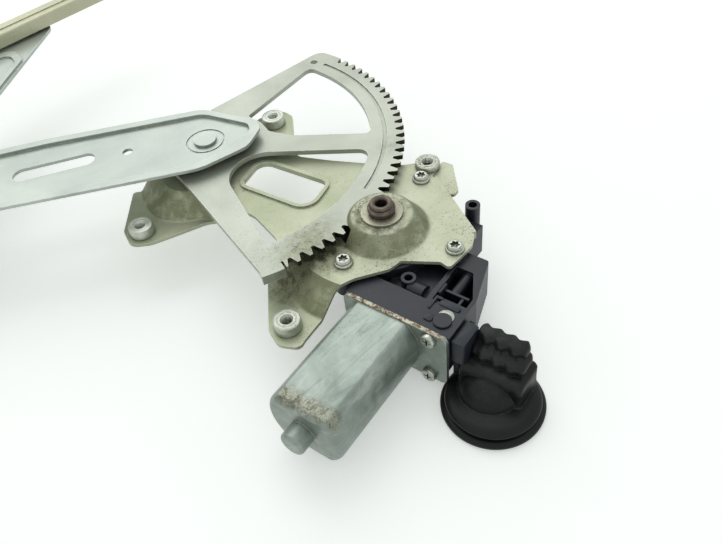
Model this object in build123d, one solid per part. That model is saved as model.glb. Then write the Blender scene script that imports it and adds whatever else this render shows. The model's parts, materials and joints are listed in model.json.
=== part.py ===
from build123d import *
import os
from math import acos, asin, atan2, ceil, cos, degrees, hypot, pi, radians, sin, sqrt, tan

os.makedirs("parts", exist_ok=True)

# A scissor (X-arm) window regulator with its motor. It is drawn in the plate's axes: origin on the
# lift arm's pivot, z = 0 on the top face of the sector gear, +z towards the window glass.
# At the end everything is turned so that +X runs along the two rails, and moved so that the
# origin lies in the weld nut of the lower plate tab, at the face that the door panel meets.

# ---------------------------------------------------------------- driving dimensions, mm and degrees
MODULE = 2.2                 # sector and pinion teeth
SECTOR_TEETH = 104           # teeth that a full circle would have
SECTOR_GAPS = 32             # tooth gaps really cut
PINION_TEETH = 10
PRESSURE_ANGLE = 20.0
BACKLASH = 0.16              # taken off each gear's tooth, at the pitch circle
GAP_START = -65.98           # direction of the first tooth gap
PINION_DIR = -41.0           # direction from the lift arm's pivot to the pinion

SECTOR_T = 3.0
ARM_T = 2.0
ARM_LIFT = 2.5               # the sector's hub pad holds the arm this far above the sector
ARM_RIM = 2.0                # how far the arm's rim stands above its web
PLATE_T = 2.0
PLATE_GAP = 3.5              # sector's underside to the plate's top face
BEND_R = 2.5                   # inner radius at the foot of each pressed wall
TAB_DROP = 12.0              # the two low tabs lie this far below the plate
SHELF_DROP = 3.0             # the tab beside the pivot lies this far below the plate
FOLD_DROP = 3.0              # the folded flange hangs this far below the plate

ARM_LENGTH = 370.0           # pivot to upper roller shoe
ARM_DIR = 185.5              # direction of the lift arm
RAIL_DIR = 40.0              # direction of both rails
SHOE_GAP = 0.3               # between a shoe and the rail that it slides in
LAYER_GAP = 0.4              # between flat pieces that pass over each other
PANEL_RIM = 1.4              # rim of the upper equaliser half's embossed panel

RAIL_W = 16.0
RAIL_H = 9.2
RAIL_T = 1.4
RAIL_LIP = 2.6
GLASS_RAIL_LEFT = 420.0      # rail end to shoe D
GLASS_RAIL_RIGHT = 85.0
GUIDE_RAIL_HALF = 78.0

NUT_R = 7.0
NUT_H = 6.0
NUT_HOLE_R = 2.5             # minor radius of an M6 thread
NUT_COLLAR_R = 3.6
NUT_COLLAR_H = 2.0           # flush with the plate's far face

STUD_R = 3.4                 # shoe studs
STUD_HEAD_R = 5.5
PIVOT_R = 6.0
PIVOT_HEAD_R = 6.6
RUN = 0.05                   # radial running clearance
FACE_GAP = 0.3

HUB_R = 6.7
HUB_TOP = 11.0
HUB_HOLE_R = 2.9
SHAFT_R = 8.0
PINION_FACE = 6.0

WHEEL_Z = -25.5              # height of the worm's axis and the wheel's middle
MOTOR_DIR = -40.8            # direction from the pinion square across to the worm
WORM_OFFSET = 29.8           # worm axis to pinion axis
WORM_R = 4.6
WHEEL_T = 10.0
HOUSING_WALL = 3.0           # wall of the wheel's drum
WHEEL_ROOM = 1.2             # clear space round the wheel
HOUSING_TOP = -8.8
COVER_T = 2.4

FLANGE_Y = -44.0             # yoke flange plane, measured along the motor axis from the pinion
FLANGE_W = 58.0
FLANGE_H = 34.0
FLANGE_SHIFT = 6.3           # the flange's middle lies this far beyond the can's
FLANGE_TOP = -9.0
FLANGE_T = 2.2
YOKE_LEN = 66.5
YOKE_R = 20.7
YOKE_FLAT = 15.6             # half height over the flats
YOKE_WALL = 1.8
YOKE_BEND = 3.0              # radius between the can's flats and its round sides
YOKE_END_R = 3.2             # radius round the closed end
BOSS_R = 6.4
BOSS_LEN = 9.0
BOSS_WALL = 1.4
MAGNET_T = 4.6
ARMATURE_R = 13.2
CORE_START = 28.0            # flange plane to the core
CORE_CLEAR = 6.5             # core to the end of the can
MOTOR_SHAFT_R = 3.0

BLOCK_DEPTH = 15.5           # the motor's mounting block, along the motor
TUBE_WALL = 2.0              # wall over the worm
BAY_FROM = 43.0              # open bay beside the worm: across from the pinion
BAY_TO = 57.0                # its far end, narrower than the block
BAY_BACK = -9.0              # and along the motor
BAY_WALL = 2.0
BAY_DEPTH = 13.0
BAY_TOP = -10.5
RIB_T = 1.3
WORM_BORE = 8.5
LOCATE_R = 3.8               # tubular locating boss
SPOUT_R = 5.2                # breather spout beside it
BOOT_DISC_R = 25.0
BOOT_DISC_LOW = -48.0
BOOT_DISC_H = 8.5
BOOT_ALONG = 41.5            # middle of the grommet along the motor
BOOT_SHIFT = 4.5             # and how far beyond the hood's middle
CONNECTOR_W = 3.4            # connector shell between the flange's end and the hood
HOOD_LEN = 29.0
HOOD_TOP = -13.5
HOOD_STEPS = 4

# ---------------------------------------------------------------- levels and places that follow
plate_top = -SECTOR_T - PLATE_GAP
plate_low = plate_top - PLATE_T
armature_len = YOKE_LEN - CORE_START - CORE_CLEAR
flange_drop = WHEEL_Z - (FLANGE_TOP - FLANGE_H / 2)
flange_side = WORM_OFFSET + FLANGE_SHIFT + FLANGE_W / 2
hood_across = flange_side + CONNECTOR_W + HOOD_LEN / 2
tab_top = plate_top - TAB_DROP
shelf_top = plate_top - SHELF_DROP
arm_top = ARM_LIFT + ARM_T
rim_top = arm_top + ARM_RIM
upper_z = rim_top + LAYER_GAP                  # underside of the upper equaliser half
lower_z = ARM_LIFT - LAYER_GAP - ARM_T                   # underside of the lower half at the middle pivot
glass_rail_z = upper_z + ARM_T + PANEL_RIM + LAYER_GAP
pitch_r = MODULE * SECTOR_TEETH / 2
tip_r = pitch_r + MODULE
root_r = pitch_r - 1.25 * MODULE
pinion_pitch_r = MODULE * PINION_TEETH / 2
centre_distance = pitch_r + pinion_pitch_r
tooth_pitch = 360.0 / SECTOR_TEETH
wheel_r = WORM_OFFSET - WORM_R - 0.4
housing_r = wheel_r + WHEEL_ROOM + HOUSING_WALL
housing_low = WHEEL_Z - WHEEL_T / 2 - 3.5


def polar(radius, angle, z=0.0):
    """Point at a radius and a direction from the pivot."""
    return Vector(radius * cos(radians(angle)), radius * sin(radians(angle)), z)


pinion = polar(centre_distance, PINION_DIR)
half = ARM_LENGTH / 2
shoe_b = polar(ARM_LENGTH, ARM_DIR)
middle = polar(half, ARM_DIR)
fold = 180 - (ARM_DIR - RAIL_DIR)              # angle between the lift arm and the rails
shoe_d = middle + polar(half, RAIL_DIR + fold)
shoe_c = middle - polar(half, RAIL_DIR + fold)


def motor_point(across, along, z=0.0):
    """Point in the motor's axes: across from the pinion towards the worm, along towards the
    end of the yoke."""
    return pinion + polar(across, MOTOR_DIR, z) + polar(along, MOTOR_DIR - 90)


def outline(points, radius=0.0):
    """Flat face inside a closed outline. A point is (x, y) or (x, y, corner radius)."""
    radii = [p[2] if len(p) > 2 else radius for p in points]
    corners = [(p[0], p[1]) for p in points]
    if max(radii) == 0:
        return make_face(Polyline(*corners, close=True))
    return make_face(FilletPolyline(*corners, radius=radii, close=True))


def slab(face, low, high):
    """The face drawn up as a slab between two heights."""
    return extrude(Pos(0, 0, low) * face, high - low, dir=(0, 0, 1))


def disc(radius, low, high, at=(0, 0)):
    return Pos(at[0], at[1], low) * Cylinder(radius, high - low, align=(Align.CENTER, Align.CENTER, Align.MIN))


def ring(outer, inner, low, high, at=(0, 0)):
    return disc(outer, low, high, at) - disc(inner, low - 1, high + 1, at)


def strip(length, width_a, width_b, round_b=True):
    """Tapered strip along +x from x = 0, with a rounded far end about x = length."""
    body = outline([(0, -width_a / 2), (length, -width_b / 2), (length, width_b / 2), (0, width_a / 2)])
    return body + Pos(length, 0) * Circle(width_b / 2) if round_b else body


def frame_at(origin, direction):
    """Location with its x axis along a direction in the plan, at a point."""
    return Pos(origin.X, origin.Y, origin.Z) * Rot(0, 0, direction)


# ---------------------------------------------------------------- gear teeth
def sector_gap():
    """One tooth gap of the sector, straight-flanked as a large gear's nearly are, about +x."""
    half_pitch_gap = pi * MODULE / 4 + BACKLASH / 2
    slope = tan(radians(PRESSURE_ANGLE))
    top = tip_r + MODULE
    half_root = half_pitch_gap - 1.25 * MODULE * slope
    half_top = half_pitch_gap + (top - pitch_r) * slope
    return outline([(root_r, -half_root, 0.5), (top, -half_top), (top, half_top), (root_r, half_root, 0.5)])


def involute_half_angle(radius):
    """Half the angle that a pinion tooth fills at a radius on or above its base circle."""
    base = pinion_pitch_r * cos(radians(PRESSURE_ANGLE))
    angle = acos(min(1.0, base / radius))
    flank = tan(angle) - angle
    pitch_flank = tan(radians(PRESSURE_ANGLE)) - radians(PRESSURE_ANGLE)
    thickness = (pi * MODULE / 2 - BACKLASH) / pinion_pitch_r
    return thickness / 2 + pitch_flank - flank


def pinion_face():
    """Ten-tooth pinion. Below the base circle the flanks are relieved, as a cutter leaves them."""
    base = pinion_pitch_r * cos(radians(PRESSURE_ANGLE))
    tip = pinion_pitch_r + MODULE
    root = pinion_pitch_r - 1.3 * MODULE
    steps = 4
    radii = [base + (tip - base) * i / steps for i in range(steps + 1)]
    relief = 0.62
    side = [(r, involute_half_angle(r)) for r in radii]
    side = [(root, side[0][1] * relief)] + side
    step = 2 * pi / PINION_TEETH
    points = []
    for tooth in range(PINION_TEETH):
        middle_angle = tooth * step
        points += [(r * cos(middle_angle - a), r * sin(middle_angle - a)) for r, a in side]
        points += [(r * cos(middle_angle + a), r * sin(middle_angle + a)) for r, a in reversed(side)]
    return outline(points)


def pinion_phase():
    """Turn of the pinion that puts it in mesh with the sector as it stands."""
    gaps = (PINION_DIR - GAP_START) / tooth_pitch
    off_centre = (gaps - round(gaps)) * tooth_pitch
    return PINION_DIR + 180 + off_centre * SECTOR_TEETH / PINION_TEETH


# ---------------------------------------------------------------- sector gear and lift arm
def sector_gear():
    """Fine-blanked sector: a hub under the lift arm, three spokes and the toothed rim."""
    top_angle = GAP_START + (SECTOR_GAPS - 0.5) * tooth_pitch
    low_angle = GAP_START - tooth_pitch / 2
    lip_angle = low_angle - 6.5
    wedge = outline([(-26, 20, 14), (-2, 37, 18), (73.5, 92.2, 8), tuple(polar(tip_r, top_angle))[:2],
                     tuple(polar(tip_r * 1.3, top_angle - 12))[:2], (190, -40),
                     tuple(polar(tip_r * 1.3, low_angle))[:2], tuple(polar(root_r, low_angle))[:2],
                     tuple(polar(root_r + 1, lip_angle))[:2], (-14.5, -25.7, 8), (-27, -8, 14)])
    body = wedge & Circle(tip_r)
    gap = sector_gap()
    body -= [Rot(0, 0, GAP_START + k * tooth_pitch) * gap for k in range(SECTOR_GAPS)]
    inner = Circle(root_r - 14.5)
    upper = outline([(24, 26.5, 2), (63.5, 71.5, 7), (150, 60), (150, -18), (51.4, 0, 4), (37, 7.5, 5),
                     (32, 18, 4)]) & inner
    lower = outline([(2.5, -6.7, 20), (140, -30.8), (140, -150), (62, -150), (35, -92, 5)]) & inner
    upper = fillet(upper.vertices().sort_by(Axis.X)[-2:], 4)
    lower = fillet(lower.vertices().sort_by(Axis.X)[-1:], 6)
    body -= [upper, lower, Pos(68, 78.7) * Circle(2.4), Circle(PIVOT_R + 1.5)]
    solid = slab(body, -SECTOR_T, 0)
    groove = Circle(root_r - 5.2) - Circle(root_r - 7.6)
    groove &= outline([(0, 0), tuple(polar(200, 45))[:2], (300, 0), tuple(polar(200, -33))[:2]])
    solid -= slab(groove, -0.8, 1)
    # the stop lip is bent down from the last stretch of the rim
    lip = Circle(tip_r + 0.5) - Circle(root_r + 0.2)
    lip &= outline([(0, 0), tuple(polar(200, low_angle - 0.6))[:2], tuple(polar(200, lip_angle))[:2]])
    solid += slab(lip, -SECTOR_T - 2.6, 0)
    pad = frame_at(Vector(0, 0, 0), ARM_DIR) * lift_arm_outline(6) & Circle(27) & body
    return solid + slab(pad, 0, ARM_LIFT)


def lift_arm_outline(inset):
    """Plan of the lift arm along +x towards its shoe. Inset draws the inner edge of its rim."""
    i = inset
    return outline([(-33 + 1.2 * i, 0, 6), (-31 + i, -9 + 0.4 * i, 6), (0, -31 + i, 16), (96, -31 + i, 60),
                    (ARM_LENGTH - 30, -14.5 + i, 20), (ARM_LENGTH + 15 - i, -12.5 + i, 11 - i * 0.8),
                    (ARM_LENGTH + 15 - i, 12.5 - i, 11 - i * 0.8), (ARM_LENGTH - 30, 14.5 - i, 20),
                    (118, 28 - i, 60), (4, 27.5 - i, 30), (-24 + i, 15.5 - i, 12)])


def lift_arm():
    """Pressed lift arm: a flat web inside a raised rim, with a slot, a gauge hole and the ring
    round the pivot."""
    rim = 5.0
    whole = lift_arm_outline(0)
    web = lift_arm_outline(rim)
    seat = lift_arm_outline(rim - ARM_T)
    arm = slab(seat, ARM_LIFT, arm_top) + slab(whole - web, arm_top, rim_top)
    slot = Pos(89, -3.3) * SlotOverall(48, 11.5, rotation=5)
    holes = [slot, Pos(46, -4.5) * Circle(3.1), Circle(PIVOT_R), Pos(half, 0) * Circle(PIVOT_R + RUN),
             Pos(ARM_LENGTH, 0) * Circle(STUD_R)]
    for hole in holes:
        arm -= slab(hole, -1, rim_top + 1)
    return frame_at(Vector(0, 0, 0), ARM_DIR) * (arm - ring(11.6, 10.4, arm_top - 0.6, arm_top + 1))


def pivot_rivet():
    """Shouldered rivet that the sector and lift arm turn on. It is headed over the arm and
    set into the base plate."""
    head_top = arm_top + 1.7
    return (disc(PIVOT_HEAD_R, arm_top + FACE_GAP / 6, head_top)
            + disc(PIVOT_R - RUN, plate_low - 1.5, head_top)
            + disc(PIVOT_R + 3, plate_low - 1.5, plate_low))


# ---------------------------------------------------------------- base plate
LOW_NUTS = [(41.3, -130.5), (-39.3, -46.5)]
SHELF_NUT = (38.8, 28.6)
RIM_NUT = (125.3, -37.0)
MOTOR_SCREWS = [(72.0, -104.0), (128.0, -105.0), (119.9, -48.0)]


def pressed_face(bend, around, level):
    """Flat region at one level: a free curve along its bend, closed by straight lines around."""
    curve = Spline(*bend)
    rest = Polyline(*([bend[-1]] + around + [bend[0]]))
    return Pos(0, 0, level) * make_face([curve] + rest.edges())


def pressed_pocket(plate, foot, brow, around, drop):
    """Presses part of the plate down by `drop`. Foot and brow are the lower and the upper bend of
    its sloping wall, and `around` closes both beyond the edge of the sheet."""
    low = plate_top - drop
    pit = loft([pressed_face(foot, around, low), pressed_face(brow, around, plate_top)], ruled=True)
    pit = fillet(pit.faces().sort_by(Axis.Z)[0].edges().filter_by(GeomType.BSPLINE), BEND_R)
    sheet = Pos(0, 0, -PLATE_T) * pit & slab(plate_outline(), low - PLATE_T, plate_low)
    return plate - pit + (sheet - pit)


def plate_outline():
    """Blanked outline of the whole plate in plan, dropped tabs and shelf included."""
    return outline([(-32, 2, 5), (-30, 14, 8), (-14, 27, 8), (6, 24, 8), (22, 20, 6), (28, 36, 8), (44, 42, 7),
                    (50.5, 34, 6), (50.5, 6, 4), (52, -12, 6), (72, -20.5, 20), (93, -28, 12), (112, -33.5, 6),
                    (135, -33, 5), (126.5, -46, 3), (139.5, -97, 2), (137, -104, 4), (129, -112, 5),
                    (123, -117.3, 2), (119.5, -112.5, 2), (100.5, -108, 3), (94, -112.6, 6), (76, -115.5, 14),
                    (66, -120, 5), (56.5, -130.5, 3), (49, -140, 1.2), (46.5, -144.5, 4), (36, -141, 6),
                    (31.5, -131, 6), (31.5, -98, 3), (41, -84, 12), (26, -58, 14), (0, -44.5, 12),
                    (-23, -52.8, 30), (-34, -56.5, 16), (-45.5, -56, 7), (-50.5, -44, 7), (-49, -9.5, 2),
                    (-43.5, -9.5, 2)])


def base_plate():
    """Stamped plate: main level under the sector, two dropped tabs behind sloping walls, a shelf
    by the pivot, a folded flange, a rimmed lightening hole and the dome over the pinion."""
    plate = slab(plate_outline(), plate_low, plate_top)
    plate = pressed_pocket(plate, [(34, -94), (40.3, -104.4), (46.5, -117.5), (60, -130.5), (76, -136)],
                           [(47, -88), (53, -102), (60.5, -111.5), (71, -119.5), (80, -123)],
                           [(90, -165), (5, -165), (5, -90)], TAB_DROP)
    plate = pressed_pocket(plate, [(-46, 30), (-45, -2), (-40.5, -23), (-32.5, -36), (-18, -41.8), (-5, -41.5),
                                   (3, -47), (6, -58), (6, -75)],
                           [(-33, 30), (-32, 3), (-28.5, -14), (-22.5, -25), (-11, -31), (4, -33), (14, -40),
                            (18, -52), (18, -75)],
                           [(-75, -75)], TAB_DROP)
    plate = pressed_pocket(plate, [(26, 60), (28, 24), (38, 16.5), (60, 15)],
                           [(22, 60), (24.5, 21), (37, 12.5), (60, 11)], [(70, 60)], SHELF_DROP)
    # flange folded down along the edge beside the dome, with its ear
    fold_dir = degrees(atan2(-97 + 46, 139.5 - 126.5))
    fold_len = hypot(13, 51)
    flange = Pos(0, -PLATE_T, 0) * outline([(2, 0), (fold_len - 2, 0), (fold_len - 2, PLATE_T), (2, PLATE_T)])
    turned = frame_at(Vector(126.5, -46, 0), fold_dir) * Pos(0, PLATE_T, 0)
    plate += turned * slab(flange, plate_low - FOLD_DROP, plate_top)
    ear = outline([(134, -33.5, 2), (139.5, -38, 1.5), (139, -46, 2), (138.5, -60, 3), (134, -65, 3),
                   (130, -58, 3), (127, -45, 2)])
    plate += slab(ear, plate_low - 1, plate_top - 1)
    # lightening hole with its rolled rim
    window = outline([(31, -12, 7), (68.5, -40.5, 5), (56.5, -60, 8), (19.5, -31.5, 5)])
    rolled = offset(window, 2.2, kind=Kind.ARC)
    plate += slab(rolled, plate_top - 0.5, plate_top + 1.2)
    plate -= slab(window, plate_low - 2, plate_top + 5)
    # pivot seat pressed up to the sector
    plate += disc(15, plate_low, -SECTOR_T - FACE_GAP)
    plate -= disc(13, plate_low - 1, plate_top - FACE_GAP - PLATE_GAP + 1.2)
    plate = pinion_dome(plate)
    for x, y in MOTOR_SCREWS:
        plate -= disc(3.0, plate_low - 1, plate_top + 1, (x, y))
    for (x, y), seat in [(n, tab_top) for n in LOW_NUTS] + [(SHELF_NUT, shelf_top), (RIM_NUT, plate_top)]:
        plate -= disc(NUT_COLLAR_R, seat - PLATE_T - 1, seat + 1, (x, y))
    plate -= disc(PIVOT_R + RUN, plate_low - 2, 2)
    return plate


def pinion_dome(plate):
    """Raises the dome over the pinion. Its mouth faces the pivot and lets the sector through."""
    roof_top = 3.5
    roof_low = roof_top - PLATE_T
    foot, shoulder = 23.5, 16.5
    at = (pinion.X, pinion.Y)
    profile = outline([(0, roof_top), (shoulder, roof_top, 3), (foot, plate_top, 3), (foot + 3, plate_top),
                       (foot + 3, plate_low), (foot - 1.2, plate_low, 1.5), (shoulder - 1, roof_low, 1.5),
                       (0, roof_low)])
    shell = revolve(Plane.XZ * profile, Axis.Z)
    shell = Pos(pinion.X, pinion.Y, 0) * shell
    mouth = Circle(tip_r + 1.6) & Pos(*at) * Circle(60)
    plate -= disc(foot - 1.2, plate_low - 1, plate_top + 1, at)
    shell -= slab(mouth, plate_low - 1, roof_low - FACE_GAP)
    roof_cut = frame_at(pinion, PINION_DIR) * outline([(-60, -40), (-60, 40), (-19.5, 40), (-19.5, -40)])
    shell -= slab(roof_cut, plate_low - 1, roof_top + 1)
    plate += shell
    plate -= disc(HUB_R + 2.5, roof_low - 1, roof_top + 1, at)
    return plate


def weld_nut(at, seat):
    """Round weld nut, collar through the plate, threaded right through."""
    body = disc(NUT_R, seat, seat + NUT_H, at) + disc(NUT_COLLAR_R - RUN, seat - NUT_COLLAR_H, seat + 1, at)
    body = chamfer(body.edges().filter_by(GeomType.CIRCLE).group_by(Axis.Z)[-1], 0.8)
    return body - disc(NUT_HOLE_R, seat - PLATE_T - 1, seat + NUT_H + 1, at)


# ---------------------------------------------------------------- pinion, wheel and gear housing
def pinion_bush():
    """Flanged bush pressed into the dome: the pinion's outer bearing."""
    at = (pinion.X, pinion.Y)
    roof_top = 3.5
    bush = disc(10.8, roof_top, roof_top + 1.1, at) + disc(HUB_R + 2.5, roof_top - PLATE_T, roof_top + 1, at)
    return bush - disc(HUB_R + RUN, 0, 20, at)


def pinion_shaft():
    """Hollow steel pinion with its shaft: hub through the dome's bush, teeth under the dome,
    journal down into the gear housing."""
    at = (pinion.X, pinion.Y)
    teeth = slab(pinion_face(), -PINION_FACE / 2 - SECTOR_T / 2, PINION_FACE / 2 - SECTOR_T / 2 - 0.6)
    teeth = frame_at(pinion, pinion_phase()) * teeth
    low = WHEEL_Z - WHEEL_T / 2 - 1
    shaft = disc(HUB_R, -SECTOR_T, HUB_TOP, at) + disc(SHAFT_R - 0.3, low, -PINION_FACE / 2 - 1, at)
    shaft = chamfer(shaft.edges().filter_by(GeomType.CIRCLE).group_by(Axis.Z)[-1], 0.7)
    return teeth + shaft - disc(HUB_HOLE_R, HUB_TOP - 14, HUB_TOP + 1, at)


def worm_wheel():
    """Moulded worm wheel, webbed, keyed to the pinion shaft."""
    at = (pinion.X, pinion.Y)
    low, high = WHEEL_Z - WHEEL_T / 2, WHEEL_Z + WHEEL_T / 2
    teeth = 66
    tooth_h = 1.6
    notch = [polar(wheel_r + 0.4, 360 * i / teeth) for i in range(teeth)]
    blank = Circle(wheel_r) - [Pos(p.X, p.Y) * Rot(0, 0, 360 * i / teeth) * Rectangle(2 * tooth_h, 1.3)
                               for i, p in enumerate(notch)]
    wheel = Pos(*at) * slab(blank, low, high)
    for z in (low - 1, high - 2.5):
        wheel -= ring(wheel_r - 6, SHAFT_R + 5, z, z + 3.5, at)
    return wheel - disc(SHAFT_R - 0.3, low - 1, high + 1, at)


worm_axis = Location(tuple(motor_point(WORM_OFFSET, 0, WHEEL_Z)), (0, 0, 0)) * Rot(0, 0, MOTOR_DIR - 90) * Rot(0, 90, 0)


def along_worm(radius, start, stop):
    """Round bar on the worm's axis between two distances from the pinion's level."""
    bar = Cylinder(radius, stop - start, align=(Align.CENTER, Align.CENTER, Align.MIN))
    return worm_axis * Pos(0, 0, start) * bar


def motor_box(across, along, heights):
    """Box in the motor's axes between two distances across, along and in height."""
    size = (along[1] - along[0], across[1] - across[0], heights[1] - heights[0])
    box = Box(*size, align=(Align.MIN, Align.MIN, Align.MIN))
    base = pinion + Vector(0, 0, heights[0])
    return frame_at(base, MOTOR_DIR - 90) * Pos(along[0], across[0], 0) * box


def gear_housing():
    """Moulded gear housing: a drum for the wheel, a tube for the worm, the motor's mounting
    block, an open ribbed bay by the connector and three feet for the screws."""
    at = (pinion.X, pinion.Y)
    low = housing_low
    face = -FLANGE_Y - FACE_GAP
    back = face - BLOCK_DEPTH
    start = flange_side - FLANGE_W
    face_low = FLANGE_TOP - FLANGE_H + 0.6
    tube_top = WHEEL_Z + WORM_BORE + TUBE_WALL
    body = disc(housing_r, low, HOUSING_TOP, at)
    body += motor_box((WORM_OFFSET - 10.5, WORM_OFFSET + 10), (-34.4, back), (low, tube_top))
    body += motor_box((WORM_OFFSET, BAY_FROM + 1), (BAY_BACK, back), (low, tube_top))
    body += motor_box((start, flange_side), (back, face), (low, FLANGE_TOP - 1))
    body += motor_box((start, flange_side - 5), (face - 5, face), (face_low, FLANGE_TOP - 1))
    body += motor_plan(bay_plan(0, back), low, BAY_TOP)
    body -= motor_plan(bay_plan(BAY_WALL, back), BAY_TOP - BAY_DEPTH, BAY_TOP + 1)
    body += bay_ribs(back)
    body += disc(LOCATE_R, low, BAY_TOP + 0.5, locate_boss())
    spout = motor_axis_across(WORM_OFFSET + 0.5, back - 6, BAY_TOP - SPOUT_R - 0.5)
    body += spout * Cylinder(SPOUT_R, 8.5, align=(Align.CENTER, Align.CENTER, Align.MIN))
    for x, y in MOTOR_SCREWS:
        reach = Vector(x, y, 0) - pinion
        arm = Pos(reach.length / 2, 0) * Rectangle(reach.length, 10)
        web = frame_at(pinion, degrees(atan2(reach.Y, reach.X))) * arm
        body += slab(web, HOUSING_TOP - 12, HOUSING_TOP)
    for x, y in MOTOR_SCREWS:
        body += disc(6.0, HOUSING_TOP - 16, plate_low - FACE_GAP / 6, (x, y))
    body += disc(16.5, HOUSING_TOP - 1, plate_low + 1.4, at)
    body -= disc(wheel_r + WHEEL_ROOM, low - 1, WHEEL_Z + WHEEL_T / 2 + 1.5, at)
    body -= along_worm(WORM_BORE, -29, face + 1)
    body -= disc(SHAFT_R - 0.3 + RUN, low - 1, 0, at)
    body -= disc(LOCATE_R - 1.6, HOUSING_TOP - 12, 0, locate_boss())
    for x, y in MOTOR_SCREWS:
        body -= disc(2.2, HOUSING_TOP - 10, 0, (x, y))
    for x, y in yoke_screw_places():
        hole = Pos(x, y, -FLANGE_Y - 9) * Cylinder(1.9 + RUN, 10, align=(Align.CENTER, Align.CENTER, Align.MIN))
        body -= worm_axis * hole
    return body


def locate_boss():
    """Place of the tubular boss that the housing is located by in assembly."""
    spot = motor_point(WORM_OFFSET - 1.2, -FLANGE_Y - BLOCK_DEPTH - 7.8)
    return (spot.X, spot.Y)


def motor_plan(points, low, high):
    """Slab whose plan is drawn in the motor's axes as (along, across, corner radius)."""
    return frame_at(pinion, MOTOR_DIR - 90) * slab(outline(points), low, high)


def bay_plan(inset, back):
    """Plan of the open bay: it widens towards the block that it stands against."""
    i = inset
    return [(BAY_BACK + 5.5 * i, BAY_FROM + i), (BAY_BACK + 5.5 * i, BAY_TO - i - 0.3 * i, 1.5),
            (back - 11, flange_side - 0.6 - i, 3), (back + 1 - 1.5 * i, flange_side - 0.6 - i),
            (back + 1 - 1.5 * i, BAY_FROM + i)]


def bay_ribs(back):
    """Ribs and the half-round key in the bay, from its floor up to its rim."""
    floor = BAY_TOP - BAY_DEPTH - 0.5
    far = flange_side - 1.5
    ribs = motor_box((BAY_FROM + 1.2, BAY_FROM + 1.2 + RIB_T), (back - 19, back + 0.5), (floor, BAY_TOP))
    ribs += motor_box((BAY_FROM, far - 3), (back - 11.5, back - 11.5 + RIB_T), (floor, BAY_TOP - 1))
    ribs += motor_box((BAY_FROM + 3, far - 1), (back - 6, back - 2.5), (floor, BAY_TOP - 1.5))
    ribs += motor_box((far - 6.5, far - 6.5 + RIB_T), (back - 11.5, back - 4), (floor, BAY_TOP - 1.5))
    key = motor_axis_along(BAY_TO - 5.2, BAY_BACK + 11, BAY_TOP - 4.5)
    return ribs + key * Cylinder(2.8, back - BAY_BACK - 22, align=(Align.CENTER, Align.CENTER, Align.MIN))


def motor_axis_across(start, along, height):
    """Axis square to the motor at one distance along it, pointing away from the pinion."""
    return Location(tuple(motor_point(start, along, height))) * Rot(0, 0, MOTOR_DIR) * Rot(0, 90, 0)


def motor_axis_along(across, start, height):
    """Axis alongside the motor's own, pointing to the motor."""
    return Location(tuple(motor_point(across, start, height))) * Rot(0, 0, MOTOR_DIR - 90) * Rot(0, 90, 0)


def gear_cover():
    """Flat cover that closes the wheel's drum on the panel side."""
    at = (pinion.X, pinion.Y)
    low = housing_low
    cover = disc(housing_r, low - COVER_T, low - FACE_GAP / 6, at)
    return cover - disc(6, low - COVER_T - 1, low - COVER_T + 0.8, at)


def motor_screw(at):
    """Pan-head screw with a star socket, through the plate into the housing's foot."""
    head = Pos(at[0], at[1], plate_top) * Cylinder(4.8, 3.4, align=(Align.CENTER, Align.CENTER, Align.MIN))
    head = fillet(head.edges().filter_by(GeomType.CIRCLE).group_by(Axis.Z)[-1], 1.2)
    socket = disc(2.4, plate_top + 1.6, plate_top + 5, at)
    return head + disc(2.15, HOUSING_TOP - 9, plate_top + 1, at) - socket


# ---------------------------------------------------------------- motor
def yoke_section(inset):
    """Double-D section of the can, drawn in from its outside by a distance."""
    section = Circle(YOKE_R) & Rectangle(2 * YOKE_FLAT, 2 * YOKE_R)
    return offset(fillet(section.vertices(), YOKE_BEND), -inset)


def yoke():
    """Drawn steel yoke: double-D can with a closed end, an end boss and a flat flange."""
    start = -FLANGE_Y
    can = extrude(yoke_section(0), YOKE_LEN)
    can = fillet(can.faces().sort_by(Axis.Z)[-1].edges(), YOKE_END_R)
    boss = Cylinder(BOSS_R, BOSS_LEN + 1, align=(Align.CENTER, Align.CENTER, Align.MIN))
    boss = fillet(boss.edges().filter_by(GeomType.CIRCLE).group_by(Axis.Z)[-1], 1.8)
    can += Pos(0, 0, YOKE_LEN - 1) * boss
    flange = Pos(flange_drop, FLANGE_SHIFT, 0) * RectangleRounded(FLANGE_H, FLANGE_W, 3.5)
    can += extrude(flange, FLANGE_T)
    can -= Pos(0, 0, -1) * extrude(yoke_section(YOKE_WALL), YOKE_LEN - YOKE_WALL + 1)
    bore = Cylinder(BOSS_R - BOSS_WALL, BOSS_LEN + 1.4, align=(Align.CENTER, Align.CENTER, Align.MIN))
    can -= Pos(0, 0, YOKE_LEN - 3) * bore
    for x, y in yoke_screw_places():
        can -= Pos(x, y, -1) * Cylinder(2.1, FLANGE_T + 2, align=(Align.CENTER, Align.CENTER, Align.MIN))
    return worm_axis * Pos(0, 0, start) * can


def yoke_screw_places():
    """Two screws through the flange's wide end. Local x points down, local y across."""
    return [(sx * 13.0 + flange_drop + 0.5, FLANGE_SHIFT + FLANGE_W / 2 - 9.2) for sx in (-1, 1)]


def yoke_screw(place):
    head = Cylinder(3.9, 2.6, align=(Align.CENTER, Align.CENTER, Align.MIN))
    head = fillet(head.edges().filter_by(GeomType.CIRCLE).group_by(Axis.Z)[-1], 1.0)
    head -= Pos(0, 0, 1.2) * (Box(4.4, 0.9, 3) + Box(0.9, 4.4, 3))
    shank = Pos(0, 0, -FLANGE_T - 7) * Cylinder(1.9, FLANGE_T + 7.5, align=(Align.CENTER, Align.CENTER, Align.MIN))
    return worm_axis * Pos(place[0], place[1], -FLANGE_Y + FLANGE_T) * (head + shank)


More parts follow.
